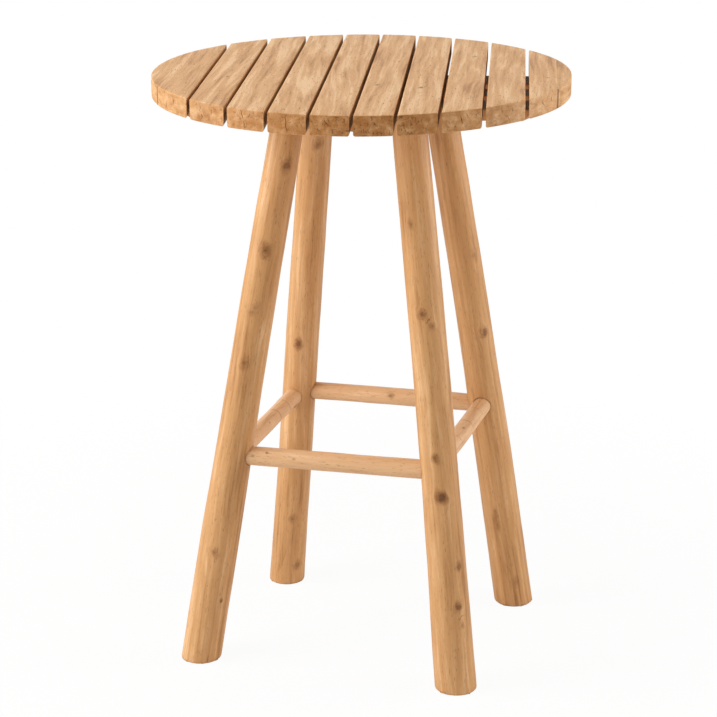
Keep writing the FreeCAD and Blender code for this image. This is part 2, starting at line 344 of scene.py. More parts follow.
        rough = self.roughness + (wood["streak"] - 0.5) * 0.18 + end * 0.12 + wood["pore"] * 0.15
        height = (wood["fibre"] * 0.5 + wood["streak"] * 0.7 + wood["late"] * 0.35 - wood["pore"] * 0.6
                  - wood["fleck"] * 0.8 - heart * 0.6 + rim * 0.4 - check)
        bump = shader.signal("Bump", {"Strength": self.bump, "Distance": self.bump_height, "Height": height})
        shader.surface(Base_Color=colour, Roughness=rough.limited(), Normal=bump, IOR=1.45,
                       Specular_IOR_Level=self.gloss)
        return made


@dataclass(frozen=True)
class Steel:
    """Zinc-plated screw steel, slightly dulled."""
    slot: str = "screw_steel"
    bright: tuple = (0.56, 0.55, 0.52)
    dull: tuple = (0.40, 0.38, 0.33)

    @cache
    def material(self) -> bpy.types.Material:
        """Builds the finish once, as a material."""
        made = bpy.data.materials.new(self.slot)
        shader = Shader(made)
        place = shader.signal("TexCoord", None, "Object")
        wear = shader.noise(place, (700.0, 700.0, 700.0), 3.0)
        cloud = shader.noise(place, (160.0, 160.0, 160.0)).between(0.3, 0.7)
        shader.surface(Base_Color=shader.mix(cloud, self.bright, self.dull), Metallic=1.0,
                       Roughness=0.28 + wear * 0.2)
        return made


SLAT_TEAK = Teak("slat_teak", linear(252, 210, 162), linear(230, 179, 124), linear(188, 134, 83),
                 linear(166, 108, 52), streak_strength=0.75, figure_strength=0.85,
                 figure_scale=(64.0, 64.0, 5.0), figure_bend=0.3, wander=(9.0, 9.0, 3.2), patch_strength=0.5,
                 fleck_strength=0.8, gloss=0.3)
LOG_TEAK = Teak("log_teak", linear(229, 187, 140), linear(205, 155, 103), linear(156, 104, 57),
                linear(176, 118, 66), ring_strength=0.15, streak_strength=0.7, figure_strength=0.3,
                figure_scale=(55.0, 55.0, 8.0), figure_bend=0.8, fleck_strength=0.45, roughness=0.42)
ROD_TEAK = Teak("rod_teak", linear(240, 204, 166), linear(224, 180, 136), linear(180, 130, 84),
                linear(176, 118, 66), figure_strength=0.3, figure_scale=(60.0, 60.0, 10.0), figure_bend=0.8,
                fleck_strength=0.45, roughness=0.42)
FRAME_TEAK = Teak("frame_teak", linear(216, 168, 122), linear(192, 140, 94), linear(150, 100, 58),
                  linear(168, 112, 62), ring_strength=0.2, figure_strength=0.35, gloss=0.12)


# Mesh building

def linked(name: str, data: bpy.types.ID) -> Piece:
    """Makes an object of a mesh, a camera or a lamp and links it to the scene."""
    made = bpy.data.objects.new(name, data)
    bpy.context.scene.collection.objects.link(made)
    return made


def mesh_object(name: str, work: Work) -> Piece:
    """Turns a working mesh, which is freed, into a linked object."""
    mesh = bpy.data.meshes.new(name)
    work.to_mesh(mesh)
    work.free()
    return linked(name, mesh)


@contextmanager
def edited(mesh: bpy.types.Mesh) -> Iterator[Work]:
    """Opens a mesh as a working mesh and writes it back."""
    work = bmesh.new()
    work.from_mesh(mesh)
    yield work
    work.to_mesh(mesh)
    work.free()


def discard(piece: Piece) -> None:
    """Throws an object and its mesh away."""
    data = piece.data
    bpy.data.objects.remove(piece)
    bpy.data.meshes.remove(data)


class Keep(Enum):
    """Which part of a piece a carving tool leaves."""
    OUTSIDE = "DIFFERENCE"
    INSIDE = "INTERSECT"


def carve(piece: Piece, tool: Work, keep: Keep = Keep.OUTSIDE, crossing: bool = False) -> None:
    """Cuts a piece by a tool and throws the tool away.

    Args:
        piece: The mesh object to cut.
        tool: A closed working mesh.
        keep: Whether the part outside or inside the tool stays.
        crossing: Whether the tool's parts cross each other.
    """
    cutter = mesh_object(piece.name + "_tool", tool)
    cut = piece.modifiers.new("cut", "BOOLEAN")
    cut.operation = keep.value
    cut.solver = "EXACT"
    cut.use_self = crossing
    cut.object = cutter
    bpy.context.view_layer.update()
    graph = bpy.context.evaluated_depsgraph_get()
    shaped = bpy.data.meshes.new_from_object(piece.evaluated_get(graph), preserve_all_data_layers=True,
                                             depsgraph=graph)
    old = piece.data
    piece.modifiers.clear()
    piece.data = shaped
    shaped.name = piece.name
    bpy.data.meshes.remove(old)
    discard(cutter)


def tube(rings: list) -> Work:
    """A closed tube through rings of points, the same number in each, turning the same way."""
    work = bmesh.new()
    loops = [[work.verts.new(point) for point in ring] for ring in rings]
    for low, high in zip(loops, loops[1:]):
        for number in range(len(low)):
            after = (number + 1) % len(low)
            work.faces.new((low[number], low[after], high[after], high[number]))
    work.faces.new(list(reversed(loops[0])))
    work.faces.new(loops[-1])
    bmesh.ops.recalc_face_normals(work, faces=work.faces[:])
    return work


def turns(count: int) -> list:
    """The turns of points spread evenly round a circle."""
    return [math.tau * number / count for number in range(count)]


def lathe(profile: list, sides: int, place: Vector) -> Work:
    """A solid turned about an upright axis.

    Args:
        profile: Radius and height of each ring, from the bottom up.
        sides: Points round each ring.
        place: Where the axis meets height 0.

    Returns:
        The solid as a working mesh.
    """
    return tube([[place + Vector((radius * math.cos(turn), radius * math.sin(turn), height))
                  for turn in turns(sides)] for radius, height in profile])


def disc(radius: float, bottom: float, top: float, low: float, high: float, steps: int = 3) -> Work:
    """A round plate that trims boards, its lower and upper rims eased by low and high."""
    quarter = [math.pi / 2 * step / steps for step in range(steps + 1)]
    lower = [(radius - low + low * math.sin(turn), bottom + low - low * math.cos(turn)) for turn in quarter]
    upper = [(radius - high + high * math.cos(turn), top - high + high * math.sin(turn)) for turn in quarter]
    return lathe(lower + upper, 360, Vector())


def section(left: float, right: float, bottom: float, top: float, radii: tuple, steps: int = 4) -> list:
    """A rectangle's outline with rounded corners.

    Args:
        left: Lower limit across.
        right: Upper limit across.
        bottom: Lower limit of height.
        top: Upper limit of height.
        radii: Radius at the lower left, lower right, upper right and upper left; 0 is a square corner.
        steps: Faces round a corner.

    Returns:
        Pairs of a place across and a height.
    """
    points = []
    corners = ((left, bottom), (right, bottom), (right, top), (left, top))
    for number, ((across, height), radius) in enumerate(zip(corners, radii)):
        centre_across = across + (radius if across == left else -radius)
        centre_height = height + (radius if height == bottom else -radius)
        for step in range(steps + 1 if radius else 1):
            turn = math.pi / 2 * (number + 2 + step / steps)
            points.append((centre_across + radius * math.cos(turn), centre_height + radius * math.sin(turn)))
    return points


def beam(outline: list, start: Vector, end: Vector, across: Vector) -> Work:
    """A straight bar between two points, from an outline of places across and heights."""
    return tube([[point + across * place + Vector((0, 0, height)) for place, height in outline]
                 for point in (start, end)])


def joined(parts: list) -> Work:
    """Several working meshes as one."""
    work = bmesh.new()
    for part in parts:
        data = bpy.data.meshes.new("part")
        part.to_mesh(data)
        part.free()
        work.from_mesh(data)
        bpy.data.meshes.remove(data)
    return work


def cut_by_plane(work: Work, point: Vector, normal: Vector, **settings: object) -> list:
    """Cuts a working mesh by a plane and gives the edges of the cut."""
    cut = bmesh.ops.bisect_plane(work, geom=work.verts[:] + work.edges[:] + work.faces[:], plane_co=point,
                                 plane_no=normal, **settings)
    return [item for item in cut["geom_cut"] if isinstance(item, bmesh.types.BMEdge)]


def limited(value: float) -> float:
    """A number kept between 0 and 1."""
    return max(0.0, min(1.0, value))


def reach(radius: float, offset: float) -> float:
    """How far a circle reaches along one axis, at an offset along the other."""
    return math.sqrt(max(radius ** 2 - offset ** 2, 0.0))


@dataclass
class Knot:
    """A knot: where it sits along and round a log, its half size, its strength and how long it is drawn."""
    height: float
    turn: float
    size: float
    strength: float = 1.0
    long: float = 1.3

    def seen(self, height: float, turn: float, away: float) -> tuple:
        """How far a place is from the knot, across and along in the knot's sizes, and the knot's strength."""
        return (math.remainder(turn - self.turn, math.tau) * away / self.size,
                (height - self.height) / (self.size * self.long), self.strength)


def nearest_knot(offsets: list, fade: tuple = (2.2, 3.0)) -> tuple:
    """What the finish reads near a knot.

    Args:
        offsets: For each knot, how far away it is across and along, in its own sizes, and its strength.
        fade: The distances at which the strength starts and ends to fade.

    Returns:
        Across, along and strength of the nearest knot.
    """
    across, along, strength = min(offsets, key=lambda offset: math.hypot(*offset[:2]), default=NO_KNOT)
    return across, along, strength * limited((fade[1] - math.hypot(across, along)) / (fade[1] - fade[0]))


@dataclass
class Grain:
    """Writes the attributes that the teak finish reads onto a piece."""
    to_log: Callable[[Vector], Vector]
    axis: Vector
    tone: float = 0.0
    knots: Callable[[Vector], tuple] = lambda point: NO_KNOT
    # How dark a point is drawn: dark seams and scars, and painted shade
    marks_and_shade: Callable[[Vector, Vector], float] = lambda point, normal: 0.0

    def write(self, mesh: bpy.types.Mesh) -> None:
        """Writes grain and knot per vertex and trait per corner."""
        domains = {"grain": "POINT", "knot": "POINT", "trait": "CORNER"}
        for name, domain in domains.items():
            mesh.attributes.new(name, "FLOAT_VECTOR", domain)
        grain, knot, trait = (mesh.attributes[name].data for name in domains)
        for vertex in mesh.vertices:
            grain[vertex.index].vector = self.to_log(vertex.co)
            knot[vertex.index].vector = self.knots(vertex.co)
        for face in mesh.polygons:
            end = abs(face.normal.dot(self.axis)) ** 2
            for corner in face.loop_indices:
                point = mesh.vertices[mesh.loops[corner].vertex_index].co
                trait[corner].vector = (end, self.tone, self.marks_and_shade(point, face.normal))


def finish_piece(piece: Piece, node: str, finish: Union[Teak, Steel], sharp: float = 35.0) -> None:
    """Shades a piece, gives it its finish and seats it in the frame.

    Args:
        piece: The mesh object, which stands at the origin.
        node: The CAD node that it stands for.
        finish: What it is made of.
        sharp: Edges that turn more than this many degrees stay crisp.
    """
    mesh = piece.data
    mesh.materials.clear()
    mesh.materials.append(finish.material())
    mesh.polygons.foreach_set("use_smooth", [True] * len(mesh.polygons))
    mesh.set_sharp_from_angle(angle=math.radians(sharp))
    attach(piece, "root")
    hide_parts(node)
    log.info("built %s with %d faces", piece.name, len(mesh.polygons))


# The slatted top

@dataclass
class Slat:
    """One slat or glued strip: its span across the top, its place in the log, its marks and its cracks."""
    name: str
    number: int
    left: float
    right: float
    pith: tuple
    tone: float = 0.0
    seam: Optional[float] = None
    marks: tuple = ()
    cracks: tuple = ()
    high_rounding: float = 0.0025
    low_rounding: float = 0.0040
    rim_rounding: float = 0.0016
    overrun: float = 0.01
    seam_dirt: float = 0.0009
    mark_depth: float = 0.004
    back_cracks: int = 3
    crack_depth: float = 0.006
    dip_depth: float = 0.00022

    def __post_init__(self) -> None:
        """Works out its middle and how it lies in its log."""
        self.middle = Vector(((self.left + self.right) / 2, 0, SLAT_MIDDLE))
        self.shift = 3.7 * self.number
        self.lean = Random(self.name + "lean").uniform(-0.05, 0.05)
        self.is_strip = abs(self.left) > TOP_RADIUS or abs(self.right) > TOP_RADIUS

    def body(self) -> Piece:
        """A rounded bar, trimmed to the round of the top, cracked and cut into small faces.

        Returns:
            The piece.
        """
        sides = [not self.is_strip and side != self.seam for side in (self.left, self.right)]
        low = [self.low_rounding * side for side in sides]
        high = [self.high_rounding * side for side in sides]
        outline = section(self.left, self.right, SLAT_BOTTOM, TOP_HEIGHT, (*low, *reversed(high)))
        end = BACK * (TOP_RADIUS + self.overrun)
        piece = mesh_object("top_" + self.name, beam(outline, -end, end, RIGHT))
        trim = disc(TOP_RADIUS, SLAT_BOTTOM, TOP_HEIGHT, self.rim_rounding, self.rim_rounding)
        carve(piece, trim, Keep.INSIDE)
        blades = self.blades()
        if blades:
            carve(piece, joined(blades), crossing=True)
        self.grid(piece.data)
        return piece

    def grid(self, mesh: bpy.types.Mesh) -> None:
        """Cuts the slat by planes, so that its faces can dip a little and carry dirt along a seam.

        Args:
            mesh: The slat's mesh.
        """
        with edited(mesh) as work:
            planes = []
            for normal, step in ((BACK, 0.018), (RIGHT, 0.011), (UP, 0.0088)):
                places = [vertex.co.dot(normal) for vertex in work.verts]
                first, last = min(places), max(places)
                count = max(1, round((last - first) / step))
                planes += [(normal, first + (last - first) * number / count + 0.00013)
                           for number in range(1, count)]
            if self.seam is not None:
                inward = self.seam_dirt if self.left == self.seam else -self.seam_dirt
                planes += [(RIGHT, self.seam + inward * share) for share in (1.0, 1.6)]
            for normal, place in planes:
                cut_by_plane(work, normal * place, normal, dist=1e-6)

    def blades(self) -> list:
        """The drying cracks of both ends as thin blades, those at the back strewn about.

        Returns:
            Working meshes.
        """
        rng = Random(self.name)
        half = (self.right - self.left) / 2
        lines = [(-1, points, width) for points, width in self.cracks]
        for _ in range(0 if self.is_strip else self.back_cracks):
            start = Vector((rng.uniform(-0.7, 0.7) * half, rng.uniform(-0.010, 0.010)))
            way = (start - Vector(self.pith)).normalized() * rng.uniform(0.005, 0.012)
            points = [tuple((start + way * share + Vector((rng.uniform(-0.0006, 0.0006),) * 2)) * 1000)
                      for share in (-1, -0.4, 0.2, 1)]
            lines.append((1, points, 0.6))
        return [self.blade(*line) for line in lines]

    def blade(self, side: int, points: list, width: float) -> Work:
        """One crack's blade, widest half way along.

        Args:
            side: -1 at the front rim, 1 at the back rim.
            points: Places of the crack on the end face, in millimetres from its middle.
            width: Its width in millimetres.

        Returns:
            The blade as a working mesh.
        """
        middle = (self.left + self.right) / 2
        rng = Random(f"{middle} {points[0]}")
        fine = []
        for (across, up), (next_across, next_up) in zip(points, points[1:]):
            fine += [(across + (next_across - across) * share + rng.uniform(-0.45, 0.45) * (share > 0),
                      up + (next_up - up) * share) for share in (0.0, 0.33, 0.66)]
        points = fine + [points[-1]]
        last = len(points) - 1
        rings = []
        for number, (across, up) in enumerate(points):
            x, z = middle + across / 1000, SLAT_MIDDLE + up / 1000
            way = (Vector(points[min(number + 1, last)]) - Vector(points[max(number - 1, 0)])).normalized()
            half = width / 1900 * (0.12 + math.sin(math.pi * number / last) ** 0.8)
            off = Vector((-way.y, 0, way.x)) * half
            outer = Vector((x, side * (reach(TOP_RADIUS, x) + 0.003), z))
            inner = Vector((x, side * (reach(TOP_RADIUS, x) - self.crack_depth), z))
            rings.append([outer - off, outer + off, inner + off * 0.3, inner - off * 0.3])
        return tube(rings)

    def to_log(self, point: Vector) -> Vector:
        """A point of the slat in its log, which leans a little to the slat."""
        local = point - self.middle
        return Vector((local.x - self.pith[0] + self.lean * local.y,
                       local.z - self.pith[1] + self.lean * 0.6 * local.y, local.y + self.shift))

    def mark_at(self, point: Vector) -> tuple:
        """The nearest small mark on the top face.

        Args:
            point: A point of the slat.

        Returns:
            Across, along and strength of the mark.
        """
        if point.z <= TOP_HEIGHT - self.mark_depth:
            return NO_KNOT
        offsets = [((point.x - self.middle.x - across / 1000) * 1000 / size,
                    (point.y - along / 1000) * 1000 / (size * long), strength)
                   for across, along, size, long, strength in self.marks]
        return nearest_knot(offsets, (12.0, 20.0))

    def dark_marks_and_shade(self, point: Vector, normal: Vector) -> float:
        """Dark seams at the rim, with painted shade inside the cracks and gaps and on the rims of the outer
        slats.

        Args:
            point: A point of the slat.
            normal: Where its face looks.

        Returns:
            How dark it is, from 0 to 1.
        """
        if abs(normal.z) > 0.5:
            return 0.0
        if self.seam is not None and abs(point.x - self.seam) < self.seam_dirt * 1.3:
            return 0.85
        side = min(abs(point.x - self.left), abs(point.x - self.right))
        # Painted shade on the slats' sides in the gaps, darker further below the top
        if abs(normal.x) > 0.95 and side < 0.0005:
            return 0.55 * limited((TOP_HEIGHT - 0.002 - point.z) / 0.008)
        # Painted shade on the rims of the outer slats
        rim = 0.2 * limited((abs(point.x) - 0.205) / 0.03)
        # Painted shade inside the cracks, darker the deeper in
        inside = SLAT_BOTTOM + self.rim_rounding < point.z < TOP_HEIGHT - self.rim_rounding
        if side <= self.low_rounding or not inside:
            return rim
        depth = TOP_RADIUS - 0.0003 - math.hypot(point.x, point.y)
        return max(rim, min(0.9, max(0.0, depth / 0.001)))

    def build(self, finish: Teak) -> None:
        """Builds the slat, lays its grain, lets its top dip a little and dresses it."""
        piece = self.body()
        Grain(self.to_log, BACK, self.tone, self.mark_at, self.dark_marks_and_shade).write(piece.data)
        for vertex in piece.data.vertices:
            if vertex.co.z > TOP_HEIGHT - 0.0008:
                dip = noise.noise(Vector((vertex.co.x * 38, vertex.co.y * 9, self.shift))) - 0.6
                vertex.co.z += self.dip_depth * min(dip, 0.0)
        finish_piece(piece, self.name, finish, sharp=50.0)


@dataclass
class SlatTop:
    """The round top of ten slats, the outer two with a strip glued on at the rim."""
    pitch: float = 0.0713
    gap: float = 0.0065
    middle_gap: float = 0.0112
    left_seam: float = -0.344
    right_seam: float = 0.349
    edge: float = TOP_RADIUS + 0.01
    finish: Teak = SLAT_TEAK
    tones: tuple = (0.0, -0.04, -0.09, -0.09, -0.13, 0.0, -0.09, -0.06, 0.02, -0.06)
    piths: tuple = ((30, 22), (26, -14), (2, 1), (-3, 2), (-22, 10), (6, -46), (-16, -26), (8, 14), (-20, 30),
                    (-12, -18))

    def slats(self) -> list:
        """The slats from left to right, with the two strips last."""
        gaps = [self.middle_gap + (number - 4) * self.pitch for number in range(9)]
        lefts = [self.left_seam] + [place + self.gap / 2 for place in gaps]
        rights = [place - self.gap / 2 for place in gaps] + [self.right_seam]
        seams = {1: self.left_seam, 10: self.right_seam}
        made = [Slat(f"slat_{number:02d}", number, left, right, (across / 1000, up / 1000), tone,
                     seams.get(number), SLAT_MARKS.get(number, ()), SLAT_CRACKS.get(number, ()))
                for number, left, right, (across, up), tone
                in zip(range(1, 11), lefts, rights, self.piths, self.tones)]
        return made + [
            Slat("rim_strip_left", 11, -self.edge, self.left_seam, (0.03, 0.03), 0.0, self.left_seam),
            Slat("rim_strip_right", 12, self.right_seam, self.edge, (-0.03, 0.03), 0.03, self.right_seam)]

    def build(self) -> None:
        """Builds every slat and strip."""
        for slat in self.slats():
            slat.build(self.finish)


# Cracks of the front ends: points across and up from the middle of the face and a width, all in millimetres
SLAT_CRACKS = {
    1: ((((4, 12), (6, 5), (5, -2)), 0.8), (((-12, 2), (-10, -6), (-12, -13)), 0.9)),
    2: ((((-9, -2), (-8, -7), (-9.5, -12)), 1.1), (((-12, 14), (-11, 6), (-13, 1)), 0.7),
        (((12, 10), (10, 3), (12, -3)), 0.6)),
    3: ((((-6, 15), (-5.5, 9), (-4, 4), (-3, 0)), 1.1), (((-3, -1), (-1, -8), (-2, -15)), 0.9),
        (((2, 3), (7, 7), (10, 12)), 0.9), (((-8, 2), (-13, 5), (-17, 11)), 0.7)),
    4: ((((-1, 16), (-2, 9), (-0.5, 3), (-1.5, -3), (0, -9), (0.5, -15)), 1.3),
        (((3, 2), (9, 4), (14, 9)), 0.6), (((-4, 3), (-9, 6), (-14, 12)), 0.5)),
    5: ((((-9, 13), (-7.5, 7), (-3, 2), (2, -1.5)), 1.5), (((-2, 14), (-1, 9), (1, 5)), 0.8),
        (((12, 15), (11, 8), (13, 1)), 0.6)),
    6: ((((-2, 15.5), (-1.5, 12), (-2.5, 8)), 1.0), (((14, 15), (14.5, 12), (13.5, 9)), 0.8),
        (((1, -9), (0, -12.5), (1, -16)), 0.8), (((-16, -13), (-15, -7), (-17, -2)), 0.7)),
    7: ((((-12, 8), (-10, 2), (-11, -4)), 0.9), (((-22, -3), (-19, -8), (-19.5, -12)), 0.8),
        (((8, 14), (6, 6), (9, -1)), 0.7)),
    8: ((((-4, 10), (-1, 5), (0, -1), (2, -7)), 1.1), (((6, 12), (9, 8), (12, 3)), 0.8),
        (((-12, -2), (-10, -8), (-12, -14)), 0.7)),
    9: ((((-8, 14), (-6, 8), (-6.5, 3)), 0.9), (((0, -2), (4, -6), (6, -11)), 0.9),
        (((9, 13), (12, 7), (10, 1)), 0.6)),
    10: ((((-4, 8), (-1, 2), (3, -4)), 0.9), (((14, 12), (13, 4), (15, -3)), 0.6)),
}

# Small marks on the top face: millimetres across from the slat's middle, along the slat, half size, how many
# times longer than wide, strength
SLAT_MARKS = {
    2: ((6, -60, 2.2, 2.5, 0.7),),
    4: ((-8, -330, 2.6, 1.6, 0.9),),
    5: ((14, -318, 2.2, 2.0, 0.8),),
    6: ((-9, -120, 4.0, 1.6, 0.7),),
    7: ((-4, -140, 3.4, 1.5, 0.9),),
    8: ((10, 150, 3.0, 2.0, 0.6),),
    9: ((-10, -200, 2.4, 2.0, 0.7),),
    10: ((8, -40, 2.6, 1.5, 0.6),),
}


# Logs and stretchers

class Round:
    """What a log and a stretcher share: places along, round and off a line, knots and turning grain."""

    def centre(self, way: float) -> Vector:
        """A point of the line, at a length along the axis."""
        return self.start + self.axis * way

    def out(self, turn: float) -> Vector:
        """The direction away from the line, at a turn round it."""
        return self.zero * math.cos(turn) + self.quarter * math.sin(turn)

    def local(self, point: Vector) -> tuple:
        """Length along the axis, turn round it and distance from it of a point."""
        way = (point - self.start).dot(self.axis)
        off = point - self.centre(way)
        return way, math.atan2(off.dot(self.quarter), off.dot(self.zero)), off.length

    def unevenness(self, way: float, turn: float, around: float, along: float) -> float:
        """Smooth noise on the surface, from its scales around and along the line."""
        place = (math.cos(turn) * around, math.sin(turn) * around, way * along + self.shift)
        return noise.noise(Vector(place))

    def knot_height(self, point: Vector, way: float) -> float:
        """What the height of a knot is measured by."""
        return way

    def knot_at(self, point: Vector) -> tuple:
        """The nearest knot as seen from a point: across, along and strength."""
        way, turn, away = self.local(point)
        return nearest_knot([knot.seen(self.knot_height(point, way), turn, away) for knot in self.knots])

    def lump(self, point: Vector) -> float:
        """How far a knot lifts the surface: a low mound with a dent in its middle."""
        across, along, strength = self.knot_at(point)
        near = math.hypot(across, along) ** 2
        height, narrow, dent, dent_narrow = self.mound
        return strength * height * (math.exp(-near * narrow) - dent * math.exp(-near * dent_narrow))

    def grain(self, way: float, turn: float, away: float) -> Vector:
        """A place in the grain, which turns slowly along the line round a pith beside it."""
        angle = turn + self.twist * way
        return Vector((math.sin(angle) * away + self.pith[0], math.cos(angle) * away + self.pith[1],
                       way + self.shift))


@dataclass
class LogLeg(Round):
    """One peeled log, thicker at its foot, splayed, with its knots and its bow."""
    name: str
    foot: tuple
    head: tuple
    swell: tuple
    bow: tuple
    tone: float = 0.0
    knots: tuple = ()
    foot_radius: float = 0.0373
    head_radius: float = 0.0294
    stations: tuple = (-0.03, 0.25, 0.5, 0.75, 1.03)
    mound: tuple = (0.0011, 0.8, 0.7, 7.0)
    wave: float = 0.0007
    ripple: float = 0.00025
    twist: float = 0.35
    pith: tuple = (0.004, -0.003)
    foot_overrun: float = 0.03
    overrun: float = 0.05
    sides: int = 80
    step: float = 0.005
    easing: float = 0.0026

    def __post_init__(self) -> None:
        """Works out the axis and a frame round it."""
        self.start = Vector(self.foot)
        self.axis = (Vector(self.head) - self.start).normalized()
        self.length = (Vector(self.head) - self.start).length
        self.quarter = self.axis.cross(-BACK).normalized()
        self.zero = self.quarter.cross(self.axis).normalized()
        self.shift = sum(ord(letter) for letter in self.name) * 0.173

    def curve(self, values: tuple, share: float) -> float:
        """A smooth line through the stations' values.

        Args:
            values: One value for each station.
            share: A place along the log, 0 at its foot and 1 at its head.

        Returns:
            The value there.
        """
        stations = self.stations
        number = max(i for i in range(len(stations) - 1) if stations[i] <= share or i == 0)
        low, high = stations[number], stations[number + 1]
        part = (share - low) / (high - low)
        before, after = values[max(number - 1, 0)], values[min(number + 2, len(values) - 1)]
        first, last = values[number], values[number + 1]
        slope_in, slope_out = (last - before) / 2, (after - first) / 2
        cube, square = part ** 3, part ** 2
        return ((2 * cube - 3 * square + 1) * first + (cube - 2 * square + part) * slope_in
                + (-2 * cube + 3 * square) * last + (cube - square) * slope_out)

    def centre(self, way: float) -> Vector:
        """A point of the bowed middle line, at a length along the axis."""
        bend = self.curve(self.bow, way / self.length) * self.foot_radius
        return self.start + self.axis * way + Vector((bend, 0, 0))

    def radius(self, way: float) -> float:
        """The plain radius at a length along the axis."""
        share = way / self.length
        plain = self.foot_radius + (self.head_radius - self.foot_radius) * share
        return plain + self.curve(self.swell, share) * self.foot_radius

    def knot_height(self, point: Vector, way: float) -> float:
        """A log's knots are measured from the floor."""
        return point.z

    def to_log(self, point: Vector) -> Vector:
        """A point in the log's grain, which runs round the knots."""
        way, turn, away = self.local(point)
        for knot in self.knots:
            across, along, strength = knot.seen(point.z, turn, away)
            turned = math.remainder(turn - knot.turn, math.tau)
            turn -= turned * 0.8 * min(strength, 1.0) * math.exp(-0.5 * math.hypot(across, along) ** 2)
        return self.grain(way, turn, away)

    def foot_shade(self, point: Vector, normal: Vector) -> float:
        """A thin line of painted shade where the side of the log turns under at the floor."""
        return 0.0 if normal.z < -0.9 else 0.55 * max(0.0, 1.0 - point.z / self.easing)

    def ring(self, way: float) -> list:
        """One ring of points round the log, lifted at its knots and a little uneven.

        Args:
            way: A length along the axis.

        Returns:
            The points.
        """
        points = []
        for turn in turns(self.sides):
            out = self.out(turn)
            point = self.centre(way) + out * self.radius(way)
            wave = self.unevenness(way, turn, 1.6, 9)
            ripple = self.unevenness(way, turn, 4, 22)
            points.append(point + out * (self.lump(point) + self.wave * wave + self.ripple * ripple))
        return points

    def build(self, finish: Teak, tools: list) -> None:
        """Builds the log, cuts its seats, rounds the edge that it stands on and dresses it.

        Args:
            finish: The log's finish.
            tools: Working meshes that cut the seats of what enters the log.
        """
        length = self.length + self.overrun
        count = math.ceil(length / self.step)
        work = tube([self.ring(length * number / count - self.foot_overrun) for number in range(count + 1)])
        for height, direction in ((0.0, -1), (BEARER_BOTTOM, 1)):
            rim = cut_by_plane(work, UP * height, UP * direction, clear_outer=True)
            bmesh.ops.contextual_create(work, geom=rim)
        bmesh.ops.recalc_face_normals(work, faces=work.faces[:])
        piece = mesh_object("log_" + self.name, work)
        for tool in tools:
            carve(piece, tool)
        with edited(piece.data) as work:
            rim = [edge for edge in work.edges if all(abs(vertex.co.z) < 1e-6 for vertex in edge.verts)]
            bmesh.ops.bevel(work, geom=rim, offset=self.easing, segments=3, profile=0.5, affect="EDGES")
        Grain(self.to_log, self.axis, self.tone, self.knot_at, self.foot_shade).write(piece.data)
        finish_piece(piece, self.name, finish)


